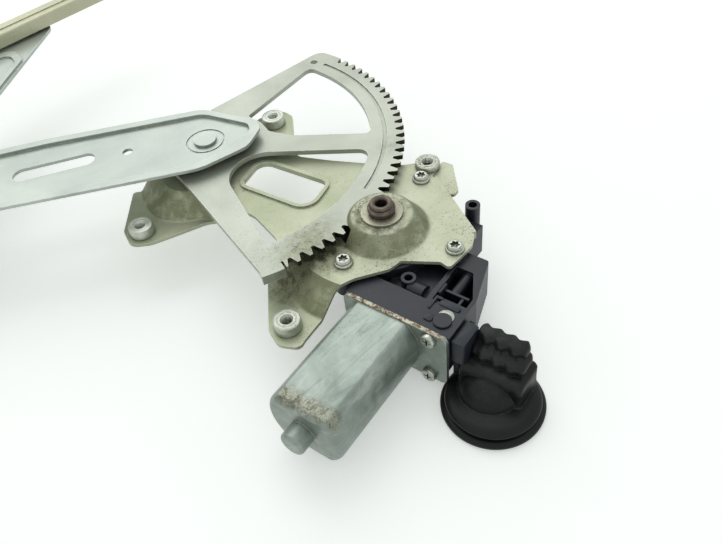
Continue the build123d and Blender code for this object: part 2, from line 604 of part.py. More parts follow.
def magnet(side):
    """Arc magnet against the round wall of the yoke, on one side."""
    outer, inner = YOKE_R - YOKE_WALL, YOKE_R - YOKE_WALL - MAGNET_T
    arc = Circle(outer) - Circle(inner)
    arc &= outline([(0, 0), (2 * outer, side * 3 * outer), (-2 * outer, side * 3 * outer)])
    arc &= Rectangle(2 * (YOKE_FLAT - YOKE_WALL) - 1, 3 * outer)
    return worm_axis * Pos(0, 0, -FLANGE_Y + CORE_START - 2) * extrude(arc, armature_len + 4)


def armature_shaft():
    """Motor shaft, from the boss of the yoke to the end of the worm's tube, with the worm's
    body between the two bearings."""
    end = -FLANGE_Y + YOKE_LEN + BOSS_LEN - 2.4
    return along_worm(MOTOR_SHAFT_R, -26, end) + along_worm(WORM_R, -14, 14)


def armature_core():
    """Laminated core with five winding slots."""
    start = -FLANGE_Y + CORE_START
    core = Circle(ARMATURE_R)
    for i in range(5):
        slot = Pos(8.5, 0) * Circle(3.2) + Pos(12, 0) * Rectangle(5, 1.6)
        core -= Rot(0, 0, 72 * i) * slot
    core -= Circle(MOTOR_SHAFT_R)
    return worm_axis * Pos(0, 0, start) * extrude(core, armature_len)


def windings():
    """Copper end turns of the windings, drawn as one ring each side of the core."""
    start = -FLANGE_Y + CORE_START
    coil = Cylinder(10.5, 4.5, align=(Align.CENTER, Align.CENTER, Align.MIN))
    coil -= Cylinder(MOTOR_SHAFT_R + 1, 20)
    return [worm_axis * Pos(0, 0, z) * coil for z in (start - 4.6, start + armature_len + 0.1)]


def commutator():
    start = -FLANGE_Y + 10
    ring_face = Circle(7.0) - Circle(MOTOR_SHAFT_R)
    ring_face -= [Rot(0, 0, 36 * i) * Pos(6.8, 0) * Rectangle(1.4, 0.6) for i in range(10)]
    return worm_axis * Pos(0, 0, start) * extrude(ring_face, 12)


def brush_holder():
    """Moulded plate across the mouth of the yoke with two brush boxes."""
    start = -FLANGE_Y + FLANGE_T + 0.5
    plate = yoke_section(YOKE_WALL + RUN) - Circle(8.2)
    holder = extrude(plate, 2.2)
    for side in (-1, 1):
        holder += Pos(0, side * 12.3, 2.2) * Box(7.4, 7.8, 8, align=(Align.CENTER, Align.CENTER, Align.MIN))
        holder -= Pos(0, side * 12.3, 4.6) * Box(4.6, 20, 4.4, align=(Align.CENTER, Align.CENTER, Align.MIN))
    holder -= Pos(0, 0, -1) * Cylinder(8.2, 20, align=(Align.CENTER, Align.CENTER, Align.MIN))
    return worm_axis * Pos(0, 0, start) * holder


def brush(side):
    start = -FLANGE_Y + FLANGE_T + 0.5 + 4.7
    block = Pos(0, side * 11.6, start) * Box(4.4, 8.4, 4.2, align=(Align.CENTER, Align.CENTER, Align.MIN))
    return worm_axis * block


def motor_bearings():
    """Sintered bushes: one in the yoke's boss, one at the worm's end of the housing."""
    end = -FLANGE_Y + YOKE_LEN
    return [along_worm(BOSS_R - BOSS_WALL, end, end + 6) - along_worm(MOTOR_SHAFT_R + RUN, end - 1, end + 9),
            along_worm(8.5, -25, -19) - along_worm(MOTOR_SHAFT_R + RUN, -30, -10)]


# ---------------------------------------------------------------- connector and grommet
def connector_body():
    """Moulded connector shell that stands against the mounting block, with its latch lug."""
    across = (flange_side + FACE_GAP, flange_side + CONNECTOR_W - FACE_GAP)
    along = (BOOT_ALONG - 17, BOOT_ALONG - 1)
    low = BOOT_DISC_LOW + BOOT_DISC_H + FACE_GAP
    shell = motor_box(across, along, (low, HOOD_TOP - 3))
    return shell + motor_box(across, (along[1] - 11, along[1]), (low, HOOD_TOP + 0.5))


def hood_profile():
    """Side of the ribbed hood in (along, height): a ridge, then steps down to the grommet."""
    low = BOOT_DISC_LOW + BOOT_DISC_H - 1
    back = BOOT_ALONG - 17.5
    run, fall = 18.0 / HOOD_STEPS, (HOOD_TOP - low - 2) / HOOD_STEPS
    points = [(back, low), (back, HOOD_TOP, 1.0)]
    for i in range(HOOD_STEPS):
        x, z = back + 3.0 + i * run, HOOD_TOP - i * fall
        points += [(x, z, 0.9), (x + 0.5, z - fall * 0.55, 0.6), (x + run * 0.8, z - fall * 0.8, 0.3)]
    points += [(back + 3.0 + HOOD_STEPS * run, HOOD_TOP - HOOD_STEPS * fall), (back + 5.0 + HOOD_STEPS * run, low)]
    return outline(points)


def connector_boot():
    """Rubber boot over the connector: a ribbed hood standing on a round double-lipped grommet
    that seals in the door panel."""
    at = motor_point(hood_across + BOOT_SHIFT, BOOT_ALONG)
    flat = (at.X, at.Y)
    low, high = BOOT_DISC_LOW, BOOT_DISC_LOW + BOOT_DISC_H
    boot = disc(BOOT_DISC_R, low, low + 2.6, flat) + disc(BOOT_DISC_R - 4, low, high, flat)
    boot += disc(BOOT_DISC_R - 2.8, high - 3.2, high - 0.8, flat)
    hood = extrude(Plane.XZ * hood_profile(), HOOD_LEN / 2, both=True)
    hood = frame_at(pinion, MOTOR_DIR - 90) * Pos(0, hood_across, 0) * hood
    return boot + hood


def mounting_sleeve():
    """Moulded spigot that stands beside the folded flange, part of the housing's far end."""
    at = (143.5, -73.5)
    low = HOUSING_TOP - 14
    return ring(4.0, 2.3, low, HOUSING_TOP + 1.5, at)


# ---------------------------------------------------------------- equaliser
def arm_profile(points):
    """Side profile of a bent strip of the arm's thickness, as an x-z face."""
    low = list(points)
    high = [(x, z + ARM_T) for x, z in reversed(points)]
    return make_face(Polyline(*(low + high), close=True))


def equalizer_upper():
    """Glass-side half: flat strip with an embossed panel, riveted to the middle pivot."""
    blank = strip(half, 45, 26) + Circle(22.5)
    body = slab(blank, upper_z, upper_z + ARM_T)
    inner = outline([(-10, -13.5, 10), (half - 46, -10, 7), (half - 36, 0, 6), (half - 46, 10, 7), (-10, 13.5, 10)])
    outer = outline([(-22, -21.6, 12), (half - 40, -13.6, 6), (half - 28, 0, 8), (half - 40, 13.6, 6), (-22, 21.6, 12)])
    rim = (outer - offset(inner, 1.5)) & blank
    body += slab(rim, upper_z + ARM_T - 0.5, upper_z + ARM_T + PANEL_RIM)
    body -= slab(Circle(PIVOT_R - 1), upper_z - 1, upper_z + 6)
    body -= slab(Pos(half, 0) * Circle(STUD_R), upper_z - 1, upper_z + 6)
    return frame_at(middle, RAIL_DIR + fold) * body


def equalizer_lower():
    """Panel-side half: the same strip, joggled down to the guide rail."""
    drop = lower_z - guide_top - 1.6
    blank = strip(half, 45, 26) + Circle(22.5)
    side = arm_profile([(-30, lower_z), (half * 0.45, lower_z), (half * 0.7, lower_z - drop),
                        (half + 30, lower_z - drop)])
    body = extrude(Plane.XZ * side, 60, both=True) & slab(blank, -60, 20)
    body -= slab(Circle(PIVOT_R - 1), -60, 20)
    body -= slab(Pos(half, 0) * Circle(STUD_R), -60, 20)
    return frame_at(middle, RAIL_DIR + fold + 180) * body


panel_z = tab_top - PLATE_T                    # the face that the door's inner panel meets
guide_top = panel_z + RAIL_H                   # the guide rail stands on that panel


def middle_pivot():
    """Stepped pin through the lift arm, riveted to both equaliser halves."""
    low, high = lower_z - 1.4, upper_z + ARM_T + 1.3
    pin = disc(PIVOT_R, lower_z + ARM_T, upper_z) + disc(PIVOT_R - 1, low, high)
    pin += disc(PIVOT_R + 2.4, upper_z + ARM_T, high) + disc(PIVOT_R + 2.4, low, lower_z)
    return Pos(middle.X, middle.Y, 0) * pin


def shoe_stud(at, arm_low, shoe_low, up=True):
    """Stud riveted in an arm's end, with the reduced neck that the shoe turns on."""
    sign = 1 if up else -1
    arm_high = arm_low + ARM_T
    if up:
        low, high = arm_low - 1.2, shoe_low + RAIL_H - RAIL_T - 1.2
        stud = disc(STUD_HEAD_R, low, arm_low) + disc(STUD_R, low, high)
        stud += disc(STUD_R + 1.4, arm_high, shoe_low - LAYER_GAP / 2)
    else:
        low, high = shoe_low - RAIL_H + RAIL_T + 1.2, arm_high + 1.2
        stud = disc(STUD_HEAD_R, arm_high, high) + disc(STUD_R, low, high)
    return Pos(at.X, at.Y, 0) * stud


# ---------------------------------------------------------------- rails and shoes
def channel(left, right):
    """C-section rail along x with its mouth down: web on top, two walls and two lips."""
    w, h, t = RAIL_W / 2, RAIL_H, RAIL_T
    slot = w - t - RAIL_LIP
    section = outline([(-w, 0), (-slot, 0), (-slot, t), (-w + t, t), (-w + t, h - t), (w - t, h - t), (w - t, t),
                       (slot, t), (slot, 0), (w, 0), (w, h, 1.6), (-w, h, 1.6)])
    rail = extrude(Plane.YZ * section, right + left)
    return Pos(-left, 0, 0) * rail


def glass_rail():
    """Channel that the window glass is bolted to, with a flattened tab and hole at each end."""
    rail = channel(GLASS_RAIL_LEFT, GLASS_RAIL_RIGHT)
    tab = 22.0
    for end in (-GLASS_RAIL_LEFT, GLASS_RAIL_RIGHT - tab):
        rail -= Pos(end, -RAIL_W, -1) * Box(tab, 2 * RAIL_W, RAIL_H - RAIL_T + 1, align=(Align.MIN,) * 3)
        rail -= Pos(end + tab / 2, 0, 0) * Cylinder(3.3, 60)
    bead = Pos(-GLASS_RAIL_LEFT + tab, -1.8, RAIL_H - 0.1)
    bead_len = GLASS_RAIL_LEFT + GLASS_RAIL_RIGHT - 2 * tab
    rail += bead * Box(bead_len, 7.0, 0.8, align=(Align.MIN, Align.MIN, Align.MIN))
    return frame_at(shoe_d + Vector(0, 0, glass_rail_z), RAIL_DIR) * rail


def guide_rail():
    """Short channel bolted to the door panel, mouth up, with a foot and hole at each end."""
    foot = 16.0
    reach = GUIDE_RAIL_HALF
    rail = Rot(180, 0, 0) * channel(reach, reach)
    rail = Pos(0, 0, RAIL_H) * rail
    for side in (-1, 1):
        rail += Pos(side * (reach + foot / 2 - 1), 0, RAIL_T / 2) * Box(foot + 2, RAIL_W, RAIL_T)
        rail -= Pos(side * (reach + foot / 2), 0, 0) * Cylinder(3.3, 20)
    return frame_at(shoe_c + Vector(0, 0, panel_z), RAIL_DIR) * rail


def shoe(at, low):
    """Nylon shoe that slides in a rail and turns on its stud."""
    width = RAIL_W - 2 * RAIL_T - 2 * SHOE_GAP
    height = RAIL_H - 2 * RAIL_T - 2 * SHOE_GAP
    body = extrude(RectangleRounded(22, width, 3), height)
    body = Pos(0, 0, RAIL_T + SHOE_GAP) * body - Cylinder(STUD_R + RUN, 60)
    return frame_at(at + Vector(0, 0, low), RAIL_DIR) * body


# ---------------------------------------------------------------- the set
nuts = [weld_nut(n, tab_top) for n in LOW_NUTS] + [weld_nut(SHELF_NUT, shelf_top), weld_nut(RIM_NUT, plate_top)]

nodes = {
    "base_plate": base_plate(),
    "weld_nuts": nuts,
    "pivot_rivet": pivot_rivet(),
    "pinion_bush": pinion_bush(),
    "pinion_shaft": pinion_shaft(),
    "worm_wheel": worm_wheel(),
    "gear_housing": gear_housing(),
    "gear_cover": gear_cover(),
    "motor_screws": [motor_screw(p) for p in MOTOR_SCREWS],
    "yoke": yoke(),
    "yoke_screws": [yoke_screw(p) for p in yoke_screw_places()],
    "magnets": [magnet(-1), magnet(1)],
    "armature_shaft": armature_shaft(),
    "armature_core": armature_core(),
    "windings": windings(),
    "commutator": commutator(),
    "brush_holder": brush_holder(),
    "brushes": [brush(-1), brush(1)],
    "motor_bearings": motor_bearings(),
    "connector_body": connector_body(),
    "connector_boot": connector_boot(),
    "mounting_sleeve": mounting_sleeve(),
    "sector_gear": sector_gear(),
    "lift_arm": lift_arm(),
    "equalizer_upper": equalizer_upper(),
    "equalizer_lower": equalizer_lower(),
    "middle_pivot": middle_pivot(),
    "stud_b": shoe_stud(shoe_b, ARM_LIFT, glass_rail_z),
    "stud_c": shoe_stud(shoe_c, guide_top + 1.6, guide_top, up=False),
    "stud_d": shoe_stud(shoe_d, upper_z, glass_rail_z),
    "shoe_b": shoe(shoe_b, glass_rail_z),
    "shoe_c": shoe(shoe_c, panel_z),
    "shoe_d": shoe(shoe_d, glass_rail_z),
    "glass_rail": glass_rail(),
    "guide_rail": guide_rail(),
}

origin = Vector(LOW_NUTS[0][0], LOW_NUTS[0][1], panel_z)
to_part = Rot(0, 0, -RAIL_DIR) * Pos(-origin.X, -origin.Y, -origin.Z)

for name, item in nodes.items():
    solids = item if isinstance(item, list) else [item]
    placed = [to_part * s for s in solids]
    shape = placed[0] if len(placed) == 1 else Compound(children=placed)
    export_step(shape, f"parts/{name}.step")
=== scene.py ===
import json
import math
import bmesh
import bpy
from mathutils import Matrix, Vector


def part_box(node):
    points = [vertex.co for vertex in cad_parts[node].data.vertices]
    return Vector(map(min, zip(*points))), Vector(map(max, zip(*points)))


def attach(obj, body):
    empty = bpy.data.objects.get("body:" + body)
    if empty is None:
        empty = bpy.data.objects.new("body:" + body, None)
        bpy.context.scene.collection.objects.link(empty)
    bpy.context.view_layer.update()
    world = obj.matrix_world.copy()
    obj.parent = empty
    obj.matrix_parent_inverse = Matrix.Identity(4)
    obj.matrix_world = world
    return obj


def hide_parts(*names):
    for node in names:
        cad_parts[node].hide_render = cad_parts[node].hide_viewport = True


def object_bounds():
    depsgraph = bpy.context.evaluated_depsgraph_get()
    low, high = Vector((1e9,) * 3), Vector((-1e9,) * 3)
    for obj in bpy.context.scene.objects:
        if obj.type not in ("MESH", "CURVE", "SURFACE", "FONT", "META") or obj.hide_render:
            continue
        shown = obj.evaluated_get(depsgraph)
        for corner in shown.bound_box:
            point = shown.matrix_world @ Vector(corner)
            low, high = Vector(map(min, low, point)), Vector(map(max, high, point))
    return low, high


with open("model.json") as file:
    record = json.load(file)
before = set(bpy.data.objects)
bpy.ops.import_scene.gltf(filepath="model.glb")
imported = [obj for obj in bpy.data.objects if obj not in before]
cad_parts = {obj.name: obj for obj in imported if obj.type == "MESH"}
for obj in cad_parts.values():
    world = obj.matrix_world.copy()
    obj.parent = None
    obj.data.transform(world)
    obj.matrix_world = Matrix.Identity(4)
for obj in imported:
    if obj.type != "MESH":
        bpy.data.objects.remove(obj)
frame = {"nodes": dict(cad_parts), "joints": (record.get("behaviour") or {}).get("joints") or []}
cad_box = [list(corner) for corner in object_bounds()]


# ---- Base plate: 2 mm mild steel, stamped in one piece with two dropped tabs, a folded edge, a
# rimmed lightening hole and the dome over the pinion, then zinc plated and passivated olive.
# Everything else is riveted, welded or screwed to it.

def paint(red, green, blue):
    """Colour on the usual 0 to 255 screen scale, as the linear colour that a shader takes."""
    def linear(value):
        share = value / 255
        return share / 12.92 if share <= 0.04045 else ((share + 0.055) / 1.055) ** 2.4
    return (linear(red), linear(green), linear(blue), 1.0)


def node(tree, kind, sockets=None, **properties):
    """Node in a tree. Each named socket takes a plain value or another node's output."""
    made = tree.nodes.new("ShaderNode" + kind)
    for label, value in properties.items():
        setattr(made, label, value)
    for label, source in (sockets or {}).items():
        if isinstance(source, bpy.types.NodeSocket):
            tree.links.new(source, made.inputs[label])
        else:
            made.inputs[label].default_value = source
    return made


def maths(tree, operation, *terms, clamp=False):
    """Result of one sum on plain numbers and nodes' outputs."""
    made = node(tree, "Math", dict(enumerate(terms)), operation=operation, use_clamp=clamp)
    return made.outputs[0]


def ramp(tree, value, start, end, low=0.0, high=1.0):
    """Even change from low to high while the value goes from start to end."""
    sockets = {"Value": value, "From Min": start, "From Max": end, "To Min": low, "To Max": high}
    return node(tree, "MapRange", sockets).outputs[0]


def noise(tree, at, scale, detail, roughness=0.5, swirl=0.0):
    """Cloudy noise over the surface, from 0 to 1."""
    sockets = {"Vector": at, "Scale": scale, "Detail": detail, "Roughness": roughness,
               "Distortion": swirl}
    return node(tree, "TexNoise", sockets).outputs["Fac"]


def distance(tree, at, centre):
    """Distance of the surface from a point, in metres."""
    return node(tree, "VectorMath", {0: at, 1: centre}, operation="DISTANCE").outputs["Value"]


def upward(tree):
    """How far the surface faces up: 1 on a flat, 0 on an upright wall."""
    return node(tree, "SeparateXYZ", {0: node(tree, "TexCoord").outputs["Normal"]}).outputs["Z"]


def blend(tree, mask, low, high):
    """Mix of two colours by a mask."""
    return node(tree, "Mix", {0: mask, 6: low, 7: high}, data_type="RGBA").outputs[2]


def effect(name, inputs, output="Mask"):
    """Empty shader node group with one output, and its inputs. A number makes a value input, and
    a word gives another kind."""
    group = bpy.data.node_groups.new(name, "ShaderNodeTree")
    for label, given in inputs.items():
        kind = given if isinstance(given, str) else "Float"
        socket = group.interface.new_socket(label, in_out="INPUT", socket_type="NodeSocket" + kind)
        if kind == "Float":
            socket.default_value = given
    result = "Float" if output == "Mask" else "Color"
    group.interface.new_socket(output, in_out="OUTPUT", socket_type="NodeSocket" + result)
    return group, group.nodes.new("NodeGroupInput").outputs


def give(group, result):
    """Joins a group's result to its output."""
    group.links.new(result, group.nodes.new("NodeGroupOutput").inputs[0])
    return group


def grime_specks():
    """Dark specks that gather in patches, as dried grime and grease do on plated steel."""
    group, given = effect("grime specks", {"Vector": "Vector", "Size": 900.0, "Patch": 30.0,
                                           "Cover": 0.5})
    specks = noise(group, given["Vector"], given["Size"], 3.0, roughness=0.7)
    patches = noise(group, given["Vector"], given["Patch"], 2.0)
    spread = maths(group, "MULTIPLY", patches, given["Cover"])
    return give(group, ramp(group, maths(group, "ADD", specks, spread), 0.84, 0.98))


def mottle():
    """Cloudy change from one colour to another."""
    group, given = effect("mottle", {"Vector": "Vector", "Scale": 20.0, "Light": "Color",
                                     "Dark": "Color", "Contrast": 1.0}, output="Colour")
    cloud = noise(group, given["Vector"], given["Scale"], 5.0, roughness=0.6, swirl=0.6)
    strong = maths(group, "MULTIPLY", maths(group, "SUBTRACT", cloud, 0.5), given["Contrast"])
    share = maths(group, "MULTIPLY_ADD", strong, 3.0, 0.5, clamp=True)
    return give(group, blend(group, share, given["Dark"], given["Light"]))


def edge_wear_and_highlight():
    """Mask of the sharp edges, broken up by noise: wear on the plating, and a painted highlight."""
    group, given = effect("edge wear and highlight", {"Vector": "Vector", "Width": 0.0008, "Breakup": 400.0})
    soft = node(group, "Bevel", {"Radius": given["Width"]}, samples=4).outputs[0]
    real = node(group, "NewGeometry").outputs["Normal"]
    same = node(group, "VectorMath", {0: soft, 1: real}, operation="DOT_PRODUCT").outputs["Value"]
    edge = ramp(group, same, 0.995, 0.86)
    gaps = ramp(group, noise(group, given["Vector"], given["Breakup"], 3.0), 0.3, 0.6)
    return give(group, maths(group, "MULTIPLY", edge, gaps))


def stain():
    """Mask of a soiled place: full at its centre, ragged at its rim."""
    group, given = effect("stain", {"Vector": "Vector", "Centre": "Vector", "Radius": 0.01,
                                    "Share": 0.8})
    away = maths(group, "DIVIDE", distance(group, given["Vector"], given["Centre"]), given["Radius"])
    ragged = noise(group, given["Vector"], 260.0, 5.0, roughness=0.75)
    total = maths(group, "MULTIPLY_ADD", ragged, 1.3, away)
    return give(group, maths(group, "MULTIPLY", ramp(group, total, 1.6, 0.9), given["Share"]))


def slope_shade_and_dirt():
    """Mask of the tilted pressed faces, darkened as painted shade with some settled grime and oil."""
    group, given = effect("slope_shade_and_dirt", {"Vector": "Vector", "Share": 0.7})
    total = ramp(group, upward(group), 0.99, 0.84)
    not_walls = ramp(group, upward(group), 0.08, 0.2)
    patchy = ramp(group, noise(group, given["Vector"], 130.0, 4.0, roughness=0.7), 0.25, 0.55)
    for factor in (not_walls, patchy, given["Share"]):
        total = maths(group, "MULTIPLY", total, factor)
    return give(group, total)


def corner_dirt_and_shade():
    """Mask of inside corners, gaps and grooves: painted shade, and the grime and oil that collect there.
    """
    group, given = effect("corner_dirt_and_shade", {"Vector": "Vector", "Reach": 0.003, "Share": 0.8})
    openness = node(group, "AmbientOcclusion", {"Distance": given["Reach"]}, samples=6, only_local=False)
    ragged = noise(group, given["Vector"], 380.0, 4.0, roughness=0.7)
    total = maths(group, "MULTIPLY_ADD", ragged, 0.5, openness.outputs["AO"])
    return give(group, maths(group, "MULTIPLY", ramp(group, total, 1.02, 0.6), given["Share"]))


SPECKS = grime_specks()
MOTTLE = mottle()
EDGE_WEAR_AND_HIGHLIGHT = edge_wear_and_highlight()
STAIN = stain()
SHADED_DIRTY_SLOPES = slope_shade_and_dirt()
CORNER_DIRT_AND_SHADE = corner_dirt_and_shade()


def place(tree, group, at, **values):
    """A shared effect placed in a material with its own values."""
    return node(tree, "Group", {"Vector": at, **values}, node_tree=group).outputs[0]


def new_finish(name):
    """New material, its node tree, its shader and the place on the surface."""
    material = bpy.data.materials.new(name)
    material.use_nodes = True
    tree = material.node_tree
    return material, tree, tree.nodes["Principled BSDF"], node(tree, "TexCoord").outputs["Object"]


def relief_of(tree, at, grain_scale, ripple_scale, grain, ripple):
    """Surface normal of a finish: edges rounded by the tool, long ripples and a fine grain."""
    rounded = node(tree, "Bevel", {"Radius": 0.00035}, samples=4).outputs[0]
    waves = noise(tree, at, ripple_scale, 2.0)
    waved = node(tree, "Bump", {"Height": waves, "Normal": rounded, "Strength": ripple, "Distance": 0.004})
    grains = noise(tree, at, grain_scale, 3.0)
    fine = node(tree, "Bump", {"Height": grains, "Normal": waved.outputs[0], "Strength": grain,
                               "Distance": 0.0004})
    return fine.outputs[0]


def plated(name, light, dark, wear_and_highlight, dirt_and_shade, cloud, specks, cover, rough, metal=0.55, grain=0.15,
           ripple=0.12, corners=0.75):
    """Plated or bare metal: cloudy colour, grime and painted shade in corners, edges bright with wear and
    painted highlight, grime specks.
    """
    material, tree, shader, at = new_finish(name)
    base = place(tree, MOTTLE, at, Scale=cloud, Light=light, Dark=dark, Contrast=1.0)
    # bright edges: wear on the plating, and a painted highlight along them
    wear_and_highlight_mask = place(tree, EDGE_WEAR_AND_HIGHLIGHT, at, Width=0.0007, Breakup=350.0)
    speckled = place(tree, SPECKS, at, Size=specks, Patch=26.0, Cover=cover)
    # grime and painted shade in inside corners and gaps, in the dark grime colour
    dirt_and_shade_mask = place(tree, CORNER_DIRT_AND_SHADE, at, Reach=0.0028, Share=corners)
    colour = blend(tree, dirt_and_shade_mask, base, dirt_and_shade)
    colour = blend(tree, wear_and_highlight_mask, colour, wear_and_highlight)
    colour = blend(tree, speckled, colour, dirt_and_shade)
    tree.links.new(colour, shader.inputs["Base Color"])
    shader.inputs["Metallic"].default_value = metal
    tree.links.new(ramp(tree, speckled, 0.0, 1.0, rough, 0.85), shader.inputs["Roughness"])
    tree.links.new(relief_of(tree, at, 700.0, 60.0, grain, ripple), shader.inputs["Normal"])
    return material


def coat(material, mask, colour):
    """One more colour over a material's base colour, where the mask shows it."""
    tree = material.node_tree
    base = tree.nodes["Principled BSDF"].inputs["Base Color"]
    tree.links.new(blend(tree, mask, base.links[0].from_socket, colour), base)


def soil(material, centre, radius, share, tone, specks=0.62):
    """One soiled place, given in millimetres: a tinted patch with dark specks thick on it."""
    tree = material.node_tree
    at = node(tree, "TexCoord").outputs["Object"]
    spot = place(tree, STAIN, at, Centre=Vector(centre) / 1000, Radius=radius / 1000, Share=share)
    coat(material, spot, tone)
    grit = place(tree, SPECKS, at, Size=1300.0, Patch=220.0, Cover=specks)
    coat(material, maths(tree, "MULTIPLY", spot, grit), paint(52, 48, 34))


def dress(name, material):
    """Gives a CAD node its material."""
    piece = frame["nodes"][name]
    piece.data.materials.clear()
    piece.data.materials.append(material)


# centre, radius and strength of each dirty place, from the dome down to the tabs, in millimetres
PLATE_DIRT = (((71.9, 2.7, 22.0), 20.0, 0.8), ((66.0, 2.0, 15.0), 18.0, 0.75),
              ((84.0, -8.0, 15.0), 10.0, 0.4), ((24.0, 18.0, 3.0), 20.0, 0.8),
              ((36.0, 52.0, -4.0), 18.0, 0.4), ((40.0, 12.0, 12.0), 19.0, 0.7),
              ((-8.0, 118.0, 0.0), 16.0, 0.15))
# two marks from the assembly line on the dome, a dab of green and one of red
CHECK_MARKS = (((73.9, 16.2, 22.0), 2.2, paint(20, 130, 86)), ((84.0, 9.8, 22.0), 1.6, paint(150, 52, 40)))
olive_zinc = plated("olive zinc", light=paint(192, 196, 174), dark=paint(166, 172, 144),
                    wear_and_highlight=paint(222, 224, 208), dirt_and_shade=paint(86, 84, 62), cloud=22.0, specks=1100.0,
                    cover=0.42, rough=0.5)
plate_tree = olive_zinc.node_tree
on_plate = node(plate_tree, "TexCoord").outputs["Object"]
# painted shade, with some grime, on the plate's pressed slopes
coat(olive_zinc, place(plate_tree, SHADED_DIRTY_SLOPES, on_plate, Share=0.8), paint(112, 114, 82))
for centre, radius, share in PLATE_DIRT:
    soil(olive_zinc, centre, radius, share, paint(110, 111, 84), specks=0.8)
for centre, radius, tone in CHECK_MARKS:
    soil(olive_zinc, centre, radius, 0.8, tone, specks=0.0)
dress("base_plate", olive_zinc)


# ---- Weld nuts: four round M6 nuts, turned from steel bar and projection welded to the plate.
# The door's screws come up into them from the panel side.

NUT_RADIUS = 6.95                              # in millimetres, as all sizes of turned forms
NUT_BORE = 2.6
COLLAR_RADIUS = 3.5                            # of the collar that stands in the plate
NUT_FOOT = 2.0                                 # height of that collar
SHORT_NUT = 5.2                                # the nut beside the upper screw is a low one
THREAD_PITCH = 1.0
THREAD_DEPTH = 0.32
STAR_LOBES = 6                                 # of a star drive
SOLIDS_APART = 0.022                           # the nuts, and the screws, stand further apart, in metres
nut_zinc = plated("nut zinc", light=paint(206, 210, 200), dark=paint(168, 174, 158),
                  wear_and_highlight=paint(240, 240, 232), dirt_and_shade=paint(70, 70, 52), cloud=90.0, specks=1300.0, cover=0.5,
                  rough=0.4, metal=0.7, grain=0.5, corners=0.25)


def solid_boxes(name):
    """Lowest and highest corner of each solid of a CAD node whose solids stand well apart."""
    groups = []
    for vertex in frame["nodes"][name].data.vertices:
        near = [group for group in groups if (group[0] - vertex.co).length < SOLIDS_APART]
        if near:
            near[0].append(vertex.co.copy())
        else:
            groups.append([vertex.co.copy()])
    return [(Vector([min(point[k] for point in group) for k in range(3)]),
             Vector([max(point[k] for point in group) for k in range(3)])) for group in groups]


def skin(loops):
    """Points and faces of a closed skin over a stack of loops with the same number of points."""
    count = len(loops[0])
    points = [point for loop in loops for point in loop]
    faces = []
    for ring in range(len(loops) - 1):
        for i in range(count):
            low = ring * count + i
            following = ring * count + (i + 1) % count
            faces.append((low, following, following + count, low + count))
    faces.append(tuple(range(count - 1, -1, -1)))
    faces.append(tuple(range(len(points) - count, len(points))))
    return points, faces


def turned(centre, profile, count=72, wobble=0.0):
    """Turned form about an upright axis, out of true by the wobble. Each step of its profile is a
    radius and a height in millimetres, and the depth of a star drive's lobes where it has them."""
    loops = []
    for step, (radius, height, *lobes) in enumerate(profile):
        loop = []
        for i in range(count):
            angle = 2 * math.pi * i / count
            star = sum(lobes) * math.cos(STAR_LOBES * angle)
            shake = wobble * math.sin(3 * angle + step) * math.sin(5 * angle + 2 * step)
            reach = (radius + star + shake) / 1000
            loop.append((centre[0] + reach * math.cos(angle), centre[1] + reach * math.sin(angle),
                         centre[2] + height / 1000))
        loops.append(loop)
    return skin(loops)


def made_piece(name, shapes, material, body="base", sharp=40.0):
    """One piece on its body, from the points and faces of each of its shapes, smooth but for the
    edges that turn by more than the sharp angle."""
    points = []
    faces = []
    for shape_points, shape_faces in shapes:
        first = len(points)
        points += shape_points
        faces += [tuple(first + index for index in face) for face in shape_faces]
    mesh = bpy.data.meshes.new(name)
    mesh.from_pydata(points, [], faces)
    mesh.validate()
    mesh.shade_smooth()
    mesh.set_sharp_from_angle(angle=math.radians(sharp))
    mesh.materials.append(material)
    piece = bpy.data.objects.new(name, mesh)
    bpy.context.scene.collection.objects.link(piece)
    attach(piece, body)
    return piece


def thread_steps(top, bottom):
    """Profile steps of a nut's thread, from its top down."""
    steps = []
    height = top
    while height - THREAD_PITCH > bottom:
        steps += [(NUT_BORE, height), (NUT_BORE + THREAD_DEPTH, height - THREAD_PITCH / 2)]
        height -= THREAD_PITCH
    return steps + [(NUT_BORE, bottom)]


nut_boxes = solid_boxes("weld_nuts")
highest_seat = max(low.z for low, high in nut_boxes)
nut_shapes = []
for low, high in nut_boxes:
    centre = ((low.x + high.x) / 2, (low.y + high.y) / 2, low.z)
    tall = SHORT_NUT if low.z == highest_seat else (high.z - low.z) * 1000
    outside = [(NUT_BORE + 0.9, 0.0), (COLLAR_RADIUS - 0.1, 0.0), (COLLAR_RADIUS, NUT_FOOT),
               (6.6, NUT_FOOT), (NUT_RADIUS, NUT_FOOT + 0.3), (NUT_RADIUS, tall - 0.7),
               (6.75, tall - 0.3), (6.4, tall - 0.1)]
    face = [(5.2, tall - 0.08), (5.0, tall - 0.3), (4.7, tall - 0.34), (4.45, tall - 0.1),
            (3.7, tall - 0.02), (3.3, tall - 0.12), (3.05, tall - 0.75)]
    nut_shapes.append(turned(centre, outside + face + thread_steps(tall - 1.2, 0.0), wobble=0.05))
nuts = made_piece("weld_nut_barrels", nut_shapes, nut_zinc)
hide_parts("weld_nuts")


# ---- Sector gear: 3 mm fine-blanked steel with 32 tooth gaps, riveted under the lift arm. The
# blanked teeth carry the load of the glass, and old grease and dirt stay between them.

